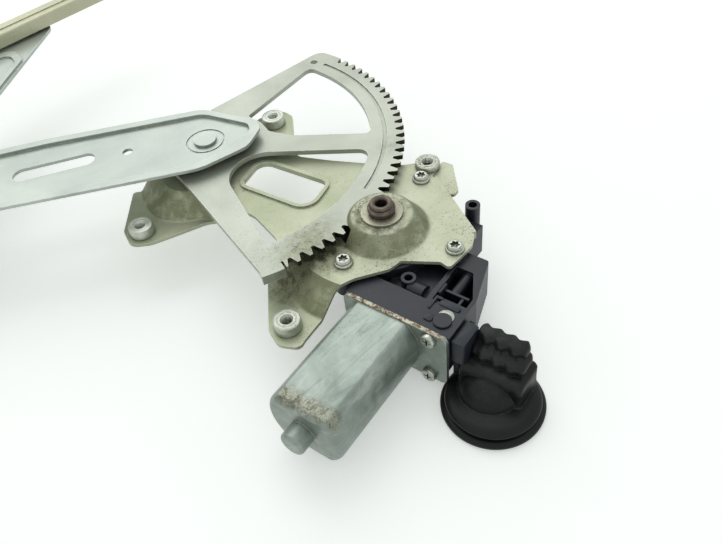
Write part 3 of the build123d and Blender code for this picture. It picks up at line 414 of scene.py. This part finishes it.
TOOTH_ROOT = 0.11165                           # radius at which the teeth begin, in metres
STOP_LIP = (0.0078, 0.0171, 0.0185)            # the stop at the low end, which stays clean
LIP_REACH = 0.011
SECTOR_DIRT = (((30.0, 17.0, 14.0), 22.0, 0.7), ((46.0, 22.0, 14.0), 16.0, 0.5),
               ((120.0, 40.0, 14.0), 14.0, 0.3))
sector_zinc = plated("sector zinc", light=paint(183, 188, 176), dark=paint(160, 165, 153),
                     wear_and_highlight=paint(228, 230, 220), dirt_and_shade=paint(70, 68, 50), cloud=16.0, specks=1500.0,
                     cover=0.36, rough=0.42, metal=0.6, corners=0.9)
for centre, radius, share in SECTOR_DIRT:
    soil(sector_zinc, centre, radius, share, paint(124, 126, 100))
swing = next(joint for joint in frame["joints"] if joint["name"] == "arm_swing")
sector_tree = sector_zinc.node_tree
on_sector = node(sector_tree, "TexCoord").outputs["Object"]
in_teeth = ramp(sector_tree, distance(sector_tree, on_sector, swing["pos_m"]), TOOTH_ROOT - 0.0008,
                TOOTH_ROOT + 0.0004)
flanks = ramp(sector_tree, upward(sector_tree), 0.7, 0.3)
off_lip = ramp(sector_tree, distance(sector_tree, on_sector, STOP_LIP), LIP_REACH - 0.0005,
               LIP_REACH + 0.0005)
grease = maths(sector_tree, "MULTIPLY", maths(sector_tree, "MULTIPLY", in_teeth, off_lip), flanks)
coat(sector_zinc, grease, paint(40, 36, 26))
dress("sector_gear", sector_zinc)


# ---- Lift arm: 2 mm pressed steel with a raised rim all round, zinc plated. It is riveted to the
# sector, and the two turn together on the shouldered pivot rivet.

satin_zinc = plated("satin zinc", light=paint(188, 195, 187), dark=paint(166, 174, 168),
                    wear_and_highlight=paint(236, 240, 236), dirt_and_shade=paint(84, 86, 74), cloud=16.0, specks=1500.0,
                    cover=0.32, rough=0.4, metal=0.65)
dress("lift_arm", satin_zinc)
dress("pivot_rivet", satin_zinc)


# ---- Pinion and its bush: the pinion's hollow steel shaft comes up through the bush pressed into
# the dome. It ends in a grooved hub, left with its brown oil film.

HUB_RADIUS = 6.7
HUB_BORE = 2.9
BUSH_GAP = 0.0002                              # above the bush the hub is turned afresh, in metres
dark_steel = plated("oiled steel", light=paint(112, 100, 92), dark=paint(72, 64, 58),
                    wear_and_highlight=paint(176, 168, 158), dirt_and_shade=paint(38, 33, 30), cloud=120.0, specks=900.0,
                    cover=0.45, rough=0.38, metal=0.8)
bush_low, bush_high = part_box("pinion_bush")
hub_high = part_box("pinion_shaft")[1]
hub_at = ((bush_low.x + bush_high.x) / 2, (bush_low.y + bush_high.y) / 2, hub_high.z)
cut_height = bush_high.z + BUSH_GAP
hub_blank = bmesh.new()
hub_blank.from_mesh(frame["nodes"]["pinion_shaft"].data)
bmesh.ops.bisect_plane(hub_blank, geom=hub_blank.verts[:] + hub_blank.edges[:] + hub_blank.faces[:],
                       plane_co=(0, 0, cut_height), plane_no=(0, 0, 1), clear_outer=True)
hub_points = [tuple(vertex.co) for vertex in hub_blank.verts]
hub_blank.verts.index_update()
hub_faces = [tuple(vertex.index for vertex in face.verts) for face in hub_blank.faces]
hub_blank.free()
hub_foot = (cut_height - hub_high.z) * 1000
groove = [(HUB_RADIUS, hub_foot), (HUB_RADIUS, -4.9), (7.0, -4.6), (7.25, -4.0), (7.25, -3.3),
          (6.9, -2.8), (6.2, -2.6), (5.9, -2.3), (6.1, -1.9)]
crown = [(6.15, -1.0), (5.8, -0.3), (5.2, 0.0), (4.1, -0.05), (3.4, -0.35), (3.0, -0.9),
         (HUB_BORE, -1.6), (HUB_BORE, hub_foot)]
crown_points, crown_faces = turned(hub_at, groove + crown, wobble=0.03)
open_crown = (crown_points, crown_faces[:-2])  # without its end faces, because the shaft is hollow
hub = made_piece("pinion_hub", [(hub_points, hub_faces), open_crown], dark_steel,
                 body="pinion")
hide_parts("pinion_shaft")
bush_steel = plated("bush steel", light=paint(186, 184, 164), dark=paint(150, 148, 128),
                    wear_and_highlight=paint(222, 220, 204), dirt_and_shade=paint(80, 76, 62), cloud=80.0, specks=900.0, cover=0.4,
                    rough=0.45)
dress("pinion_bush", bush_steel)


# ---- Screws: three star-drive screws with flanged heads hold the motor under the plate, and two
# cross-drive screws hold the can's flange. All are steel, cold headed and zinc plated.

SCREW_SHANK = 2.35
SCREW_FLANGE = 4.78
FLANGE_FOOT = -3.4                             # from the top of the head
screw_zinc = plated("screw zinc", light=paint(196, 199, 190), dark=paint(156, 160, 148),
                    wear_and_highlight=paint(240, 241, 234), dirt_and_shade=paint(62, 60, 46), cloud=150.0, specks=1500.0,
                    cover=0.45, rough=0.3, metal=0.85, corners=0.9)
shank = [(0.6, -14.7), (1.9, -14.6), (SCREW_SHANK, -14.0), (SCREW_SHANK, FLANGE_FOOT)]
collar = [(4.6, FLANGE_FOOT), (SCREW_FLANGE, -3.25), (SCREW_FLANGE, -2.35), (4.55, -2.1), (4.2, -2.0)]
head = [(4.15, -1.3), (4.0, -0.75), (3.65, -0.32), (3.2, -0.08), (2.85, 0.0)]
socket = [(2.25, -0.04, 0.42), (2.12, -0.35, 0.42), (2.0, -2.0, 0.4), (0.3, -2.4)]
screw_shapes = []
for low, high in solid_boxes("motor_screws"):
    top = ((low.x + high.x) / 2, (low.y + high.y) / 2, high.z)
    screw_shapes.append(turned(top, shank + collar + head + socket, count=96))
screws = made_piece("motor_screw_set", screw_shapes, screw_zinc, sharp=50.0)
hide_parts("motor_screws")
dress("yoke_screws", screw_zinc)


# ---- Gear housing, its cover, the connector's shell and the sleeve beside them: glass-filled
# nylon, injection moulded in blue-black. The housing holds the worm gear and is screwed up under
# the base plate.

def moulded(name, light, dark, dust_and_highlight, cover, rough, grain, sheen=0.5):
    """Moulded plastic or rubber: faint clouding, painted shade in recesses, pale edges of wear and painted
    highlight, fine dusting.
    """
    material, tree, shader, at = new_finish(name)
    base = place(tree, MOTTLE, at, Scale=40.0, Light=light, Dark=dark, Contrast=0.8)
    # pale edges: wear, and a painted highlight along them
    wear_and_highlight_mask = place(tree, EDGE_WEAR_AND_HIGHLIGHT, at, Width=0.0006, Breakup=300.0)
    dusted = place(tree, SPECKS, at, Size=1400.0, Patch=40.0, Cover=cover)
    # painted shade in the recesses, a darker copy of the plastic's own colour
    shade_in_hollows = place(tree, CORNER_DIRT_AND_SHADE, at, Reach=0.011, Share=0.6)
    colour = blend(tree, shade_in_hollows, base, tuple(0.3 * part for part in dark))
    colour = blend(tree, wear_and_highlight_mask, colour, dust_and_highlight)
    colour = blend(tree, dusted, colour, dust_and_highlight)
    tree.links.new(colour, shader.inputs["Base Color"])
    shader.inputs["Roughness"].default_value = rough
    shader.inputs["Specular IOR Level"].default_value = sheen
    tree.links.new(relief_of(tree, at, 1100.0, 50.0, grain, 0.1), shader.inputs["Normal"])
    return material


housing_nylon = moulded("housing nylon", light=paint(40, 45, 54), dark=paint(24, 27, 36),
                        dust_and_highlight=paint(88, 92, 98), cover=0.3, rough=0.42, grain=0.25, sheen=0.4)
for name in ("gear_housing", "gear_cover", "connector_body", "mounting_sleeve"):
    dress(name, housing_nylon)


# ---- Housing details: the box of the connector's shell, and the latches, the pad and the cap on
# the housing's top, all moulded with it. The cap half covers the end of a steel pin.

SHAFT_TURN = 9.2                               # the motor's axis from the frame's x axis, in degrees
BLOCK_TOP = 0.0105                             # top of the block that the motor's flange meets
# place along and off the motor, half length, half width, lowest and highest level, radius of the
# corners and eased edge, in millimetres: the shroud's from the middle of the shell's top, and the
# others' from the pinion's axis at the block's top
SHROUD = (3.3, 2.1, 7.2, 3.5, -13.2, 1.1, 0.9, 0.5)
LATCHES = ((37.0, 50.5, 2.4, 2.2, -0.3, 0.7, 0.9, 0.3),         # the pad
           (26.6, 55.6, 1.7, 5.4, -2.0, 0.5, 1.2, 0.3),         # a tongue
           (18.5, 46.9, 3.4, 0.65, -4.0, 0.6, 0.5, 0.2),        # two ribs in line beside the bay
           (28.2, 47.4, 4.4, 0.65, -4.0, 0.7, 0.5, 0.2),
           (24.3, 48.6, 0.7, 1.9, -4.0, 0.3, 0.5, 0.2))         # and a short one across
PIN_PLACE = (33.1, 57.2)
CAP_PLACE = (36.2, 57.2)
motor_line = math.radians(SHAFT_TURN - 180.0)
along_motor = Vector((math.cos(motor_line), math.sin(motor_line), 0))
off_motor = Vector((-math.sin(motor_line), math.cos(motor_line), 0))


def beside(at, along, across):
    """Point on the level of another one, so many millimetres along and off the motor."""
    return at + (along_motor * along + off_motor * across) / 1000


def rounded_block(at, along, across, half_length, half_width, low, high, corner, ease):
    """Skin of a moulded block square to the motor, with round corners and an eased top edge."""
    middle = beside(at, along, across)
    loops = []
    for rise, inset in ((low, 0.0), (high - ease, 0.0), (high - 0.3 * ease, 0.3 * ease), (high, ease)):
        loop = []
        for turn, (end, side) in enumerate(((1, 1), (-1, 1), (-1, -1), (1, -1))):
            for step in range(5):
                angle = math.radians(90 * turn + 22.5 * step)
                length = end * (half_length - corner) + (corner - inset) * math.cos(angle)
                width = side * (half_width - corner) + (corner - inset) * math.sin(angle)
                point = beside(middle, length, width)
                loop.append((point.x, point.y, point.z + rise / 1000))
        loops.append(loop)
    return skin(loops)


shell_low, shell_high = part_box("connector_body")
shell_top = Vector(((shell_low.x + shell_high.x) / 2, (shell_low.y + shell_high.y) / 2, shell_high.z))
shroud = rounded_block(shell_top, *SHROUD)
made_piece("connector_shroud", [shroud], housing_nylon, sharp=25.0)
block_at = Vector((hub_at[0], hub_at[1], BLOCK_TOP))
latches = [rounded_block(block_at, *latch) for latch in LATCHES]
cap = turned(beside(block_at, *CAP_PLACE), [(4.5, -0.3), (4.5, 0.9), (4.2, 1.15), (0.5, 1.15)])
made_piece("housing_latches", latches + [cap], housing_nylon, sharp=25.0)
pin_end = turned(beside(block_at, *PIN_PLACE), [(4.0, -0.3), (4.0, 0.35), (3.7, 0.6), (0.4, 0.65)])
made_piece("pin_end", [pin_end], screw_zinc)


# ---- Motor can: deep-drawn steel with its flange, passivated, screwed to the gear housing. Rust
# shows where the cut edge of the flange has stood bare.

FLANGE_EDGE = 0.0114                           # level of the flange's upper edge, in metres
EDGE_BAND = 0.0005
BAND_START = Vector((-30.0, -33.0, 10.1))      # the handled band across the upper flat, in mm
BAND_STEP = Vector((1.2, -6.5, 0.0))
BOSS_FOOT = (-30.0, -68.0, 2.0)                # a dark patch beside the foot of the end boss, in millimetres
yoke_steel = plated("passivated steel", light=paint(164, 174, 166), dark=paint(126, 138, 130),
                    wear_and_highlight=paint(204, 208, 198), dirt_and_shade=paint(92, 88, 74), cloud=26.0, specks=1200.0,
                    cover=0.38, rough=0.4, metal=0.6, ripple=0.4)
for step in range(5):
    soil(yoke_steel, BAND_START + step * BAND_STEP, 6.5, 0.75, paint(146, 146, 126), specks=0.85)
soil(yoke_steel, BOSS_FOOT, 5.0, 0.8, paint(78, 82, 72))
yoke_tree = yoke_steel.node_tree
on_yoke = node(yoke_tree, "TexCoord").outputs["Object"]
drawn = node(yoke_tree, "Mapping", {"Vector": on_yoke, "Rotation": (0, 0, math.radians(-SHAFT_TURN)),
                                    "Scale": (0.22, 1.0, 1.0)}).outputs[0]
streaks = noise(yoke_tree, drawn, 150.0, 4.0, roughness=0.65, swirl=1.2)
coat(yoke_steel, ramp(yoke_tree, streaks, 0.54, 0.72, high=0.55), paint(184, 190, 182))
coat(yoke_steel, ramp(yoke_tree, streaks, 0.44, 0.26, high=0.6), paint(108, 116, 106))
level = node(yoke_tree, "SeparateXYZ", {0: on_yoke}).outputs["Z"]
bare_edge = ramp(yoke_tree, level, FLANGE_EDGE - EDGE_BAND, FLANGE_EDGE)
scales = ramp(yoke_tree, noise(yoke_tree, on_yoke, 330.0, 5.0, roughness=0.8), 0.44, 0.56)
coat(yoke_steel, bare_edge, paint(176, 172, 154))
coat(yoke_steel, maths(yoke_tree, "MULTIPLY", bare_edge, scales), paint(84, 66, 50))
dress("yoke", yoke_steel)


# ---- Inside the motor and gearbox: laminated core, copper windings and commutator, ferrite
# magnets, carbon brushes in a phenolic holder, sintered bushes and the moulded worm wheel.

copper = plated("copper", light=paint(200, 130, 88), dark=paint(160, 96, 62), wear_and_highlight=paint(226, 160, 120),
                dirt_and_shade=paint(80, 50, 36), cloud=90.0, specks=1500.0, cover=0.2, rough=0.35, metal=0.9)
core_steel = plated("core laminations", light=paint(120, 122, 124), dark=paint(88, 90, 92),
                    wear_and_highlight=paint(160, 160, 160), dirt_and_shade=paint(50, 50, 50), cloud=60.0, specks=1500.0,
                    cover=0.2, rough=0.45, metal=0.8)
ferrite = plated("ferrite", light=paint(66, 66, 70), dark=paint(48, 48, 52), wear_and_highlight=paint(96, 96, 100),
                 dirt_and_shade=paint(30, 30, 32), cloud=80.0, specks=1500.0, cover=0.2, rough=0.6, metal=0.2)
bronze = plated("sintered bronze", light=paint(170, 134, 84), dark=paint(134, 102, 60),
                wear_and_highlight=paint(200, 166, 112), dirt_and_shade=paint(66, 50, 32), cloud=200.0, specks=1500.0, cover=0.3,
                rough=0.5, metal=0.85)
phenolic = moulded("phenolic", light=paint(84, 60, 44), dark=paint(62, 44, 32), dust_and_highlight=paint(120, 96, 76),
                   cover=0.2, rough=0.5, grain=0.3)
carbon = moulded("carbon", light=paint(46, 46, 48), dark=paint(34, 34, 36), dust_and_highlight=paint(70, 70, 74),
                 cover=0.3, rough=0.7, grain=0.4)
nylon = moulded("natural nylon", light=paint(226, 220, 200), dark=paint(208, 200, 178),
                dust_and_highlight=paint(236, 232, 220), cover=0.1, rough=0.4, grain=0.2)
for name, material in (("armature_shaft", screw_zinc), ("armature_core", core_steel), ("windings", copper),
                       ("commutator", copper), ("magnets", ferrite), ("brush_holder", phenolic),
                       ("brushes", carbon), ("motor_bearings", bronze), ("worm_wheel", nylon)):
    dress(name, material)


# ---- Connector boot: moulded black rubber, a ribbed hood on a round double-lipped grommet. It is
# pulled over the connector and its lips seal in the door's inner panel.

BOOT_POINTS = 160                              # points in each loop of the skin
WAVE = 7.0                                     # spacing of the hood's scallops
TOP_TIER = 28.6                                # the topmost tier is scalloped at the back as well
# heights and radii of the grommet, and of the bowl in front of the hood's foot
GROMMET = ((0.0, 24.2), (0.6, 24.9), (2.0, 25.0), (2.8, 24.2), (3.2, 20.9), (4.6, 20.8), (5.0, 22.4),
           (6.0, 22.9), (7.0, 22.7), (7.8, 21.6), (8.4, 19.4), (8.6, 18.0))
BOWL = ((8.2, 15.9), (8.9, 15.6), (10.5, 14.9), (12.5, 13.8), (14.5, 12.0), (16.5, 9.2), (18.0, 6.0),
        (18.5, 2.0))
BOWL_ALONG = -3.0                              # the bowl's centre from the grommet's
BOWL_ACROSS = -3.2
# height, near and far side, back and front, rounding of the corners, depth of the scallops
HOOD = ((8.3, -19.0, 14.8, -18.4, 2.2, 3.0, 0.0), (9.6, -19.0, 14.1, -18.1, 1.2, 2.6, 0.0),
        (15.0, -19.0, 13.8, -17.9, 0.8, 2.4, 0.0), (20.8, -19.0, 13.8, -17.8, 0.7, 2.4, 0.15),
        (21.6, -19.0, 13.2, -17.8, 0.1, 2.4, 0.2), (22.0, -17.6, 12.2, -17.8, -0.9, 2.6, 0.3),
        (22.4, -15.2, 11.0, -17.6, -4.6, 3.5, 0.7), (23.6, -15.2, 11.0, -17.6, -4.8, 3.5, 0.8),
        (25.5, -15.2, 11.6, -17.6, -4.2, 3.5, 0.8), (27.6, -15.2, 11.4, -17.6, -4.6, 3.5, 0.8),
        (28.4, -15.2, 10.2, -17.6, -5.6, 3.0, 0.7), (28.8, -15.2, 9.4, -17.6, -9.8, 2.6, 0.8),
        (29.6, -15.2, 9.6, -17.6, -10.3, 2.6, 0.9), (31.5, -15.2, 9.8, -17.6, -9.8, 2.6, 0.9),
        (33.8, -15.2, 9.0, -17.5, -10.4, 2.4, 0.7), (34.4, -14.4, 8.0, -17.0, -11.4, 2.0, 0.5))
rubber = moulded("boot rubber", light=paint(25, 28, 27), dark=paint(12, 14, 14), dust_and_highlight=paint(58, 61, 59),
                 cover=0.3, rough=0.36, grain=0.22, sheen=0.22)
boot_low, boot_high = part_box("connector_boot")
boot_centre = Vector(((boot_low.x + boot_high.x) / 2, (boot_low.y + boot_high.y) / 2, boot_low.z))


def boot_loop(height, near, far, back, front, corner, scallop):
    """Closed loop of the boot's skin: a rectangle with round corners, its points evenly spaced
    from the middle of its far side, its front edge scalloped."""
    corner = min(corner, (far - near) / 2, (front - back) / 2)
    side = (front - back) / 2 - corner
    face = (far - near) / 2 - corner
    bend = corner * math.pi / 2
    quarter = side + bend + face
    loop = []
    for i in range(BOOT_POINTS):
        turn, rest = divmod(4 * quarter * i / BOOT_POINTS, quarter)
        if turn % 2:
            rest = quarter - rest
        if rest <= side:
            across, along = face + corner, rest
        elif rest <= side + bend:
            angle = (rest - side) / corner
            across, along = face + corner * math.cos(angle), side + corner * math.sin(angle)
        else:
            across, along = quarter - rest, side + corner
        across *= 1 if turn in (0, 3) else -1
        along *= 1 if turn in (0, 1) else -1
        wave = scallop * math.cos(2 * math.pi * across / WAVE)
        if along > side:
            along += wave * (along - side) / corner
        elif along < -side and height > TOP_TIER:
            along += wave * (-side - along) / corner
        at = beside(boot_centre, (back + front) / 2 + along, (near + far) / 2 + across)
        loop.append((at.x, at.y, at.z + height / 1000))
    return loop


def round_loop(height, radius, along=0.0, across=0.0):
    """Round loop of the boot's skin, about a point so far along and off the motor."""
    return boot_loop(height, across - radius, across + radius, along - radius, along + radius, radius,
                     0.0)


dusty = beside(boot_centre, 0.0, -4.0) * 1000  # the side of the hood that faces the housing
soil(rubber, (dusty.x, dusty.y, 4.0), 24.0, 0.7, paint(50, 54, 52), specks=0.2)
grommet = skin([round_loop(height, radius) for height, radius in GROMMET])
bowl = skin([round_loop(height, radius, BOWL_ALONG, BOWL_ACROSS) for height, radius in BOWL])
hood = skin([boot_loop(*step) for step in HOOD])
boot = made_piece("rubber_boot", [grommet, bowl, hood], rubber, sharp=60.0)
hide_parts("connector_boot")


# ---- Equaliser: two 2 mm pressed steel arms, zinc plated, riveted to one stepped pin through the
# lift arm. A shouldered stud is riveted into each outer end, as into the lift arm's.

for name in ("equalizer_upper", "equalizer_lower"):
    dress(name, satin_zinc)
for name in ("middle_pivot", "stud_b", "stud_c", "stud_d"):
    dress(name, nut_zinc)


# ---- Shoes: three blocks moulded in natural nylon, bored to turn on the arms' studs. They slide
# along the rails as the arms swing.

for name in ("shoe_b", "shoe_c", "shoe_d"):
    dress(name, nylon)


# ---- Rails: channels roll formed from 1.4 mm steel and zinc plated with a tan passivate. One is
# screwed under the glass and the other to the door, through the holes in their flat ends.

rail_zinc = plated("tan zinc", light=paint(206, 206, 180), dark=paint(184, 184, 156),
                   wear_and_highlight=paint(226, 224, 208), dirt_and_shade=paint(84, 80, 62), cloud=14.0, specks=1300.0,
                   cover=0.35, rough=0.48)
dress("glass_rail", rail_zinc)
dress("guide_rail", rail_zinc)


# ---- Setting: a pale floor under the lowest piece, a white surround and one wide soft lamp from
# above and behind, with the camera at the working angle.

FLOOR_REACH = 6.0
FLOOR_GAP = 0.0002                             # between the lowest piece and the floor
FLOOR_GLOW = 0.38                              # only where it is seen, so that the shadow stays on it
SURROUND_LIGHT = 0.56                          # what lights the part, against 1 where it is seen
LAMP_AT = Vector((1.08, 1.8, 2.3))
LAMP_AIM = Vector((0.02, 0.1, 0.0))
LAMP_SIZE = 2.6
LAMP_POWER = 29.0
CAMERA_AT = Vector((-0.11924, -0.20228, 0.27667))
CAMERA_AIM = Vector((0.05013, -0.00044, 0.0))  # on the door panel's face, short of the pinion
CAMERA_ROLL = -7.83
CAMERA_LENS = 36.682
CAMERA_FILM = 36.0


def seen(tree):
    """1 for rays straight from the camera, off a mirror or through glass, and 0 for the rest."""
    rays = node(tree, "LightPath").outputs
    total = rays["Is Camera Ray"]
    for label in ("Is Glossy Ray", "Is Transmission Ray"):
        total = maths(tree, "MAXIMUM", total, rays[label])
    return total


def aimed(at, aim, roll=0.0):
    """Pose of a lamp or camera at one point that faces another, rolled by so many degrees."""
    facing = (at - aim).to_track_quat("Z", "Y").to_matrix().to_4x4()
    return Matrix.Translation(at) @ facing @ Matrix.Rotation(math.radians(roll), 4, "Z")


floor_corners = [(end * FLOOR_REACH, side * FLOOR_REACH, 0)
                 for end, side in ((-1, -1), (1, -1), (1, 1), (-1, 1))]
floor_mesh = bpy.data.meshes.new("floor")
floor_mesh.from_pydata(floor_corners, [], [(0, 1, 2, 3)])
floor = bpy.data.objects.new("floor", floor_mesh)
floor.location = (0, 0, cad_box[0][2] - FLOOR_GAP)
bpy.context.scene.collection.objects.link(floor)
floor_white = bpy.data.materials.new("floor white")
floor_white.use_nodes = True
floor_tree = floor_white.node_tree
floor_shader = floor_tree.nodes["Principled BSDF"]
floor_shader.inputs["Base Color"].default_value = (0.86, 0.87, 0.865, 1)
floor_shader.inputs["Roughness"].default_value = 0.8
floor_shader.inputs["Specular IOR Level"].default_value = 0.1
floor_shader.inputs["Emission Color"].default_value = (0.96, 1.0, 0.97, 1)
floor_glow = maths(floor_tree, "MULTIPLY", seen(floor_tree), FLOOR_GLOW)
floor_tree.links.new(floor_glow, floor_shader.inputs["Emission Strength"])
floor_mesh.materials.append(floor_white)

surround = bpy.data.worlds.new("surround")
surround.use_nodes = True
surround_tree = surround.node_tree
background = surround_tree.nodes["Background"]
background.inputs["Color"].default_value = (0.97, 1.0, 0.98, 1)
surround_light = ramp(surround_tree, seen(surround_tree), 0.0, 1.0, SURROUND_LIGHT, 1.0)
surround_tree.links.new(surround_light, background.inputs["Strength"])
bpy.context.scene.world = surround

lamp_data = bpy.data.lights.new("window light", "AREA")
lamp_data.shape = "SQUARE"
lamp_data.size = LAMP_SIZE
lamp_data.energy = LAMP_POWER
lamp = bpy.data.objects.new("window light", lamp_data)
lamp.matrix_world = aimed(LAMP_AT, LAMP_AIM)
bpy.context.scene.collection.objects.link(lamp)

camera_data = bpy.data.cameras.new("camera")
camera_data.sensor_width = CAMERA_FILM
camera_data.lens = CAMERA_LENS
camera = bpy.data.objects.new("camera", camera_data)
camera.matrix_world = aimed(CAMERA_AT, CAMERA_AIM, CAMERA_ROLL)
bpy.context.scene.collection.objects.link(camera)
bpy.context.scene.camera = camera

bpy.context.scene.view_settings.view_transform = "Standard"
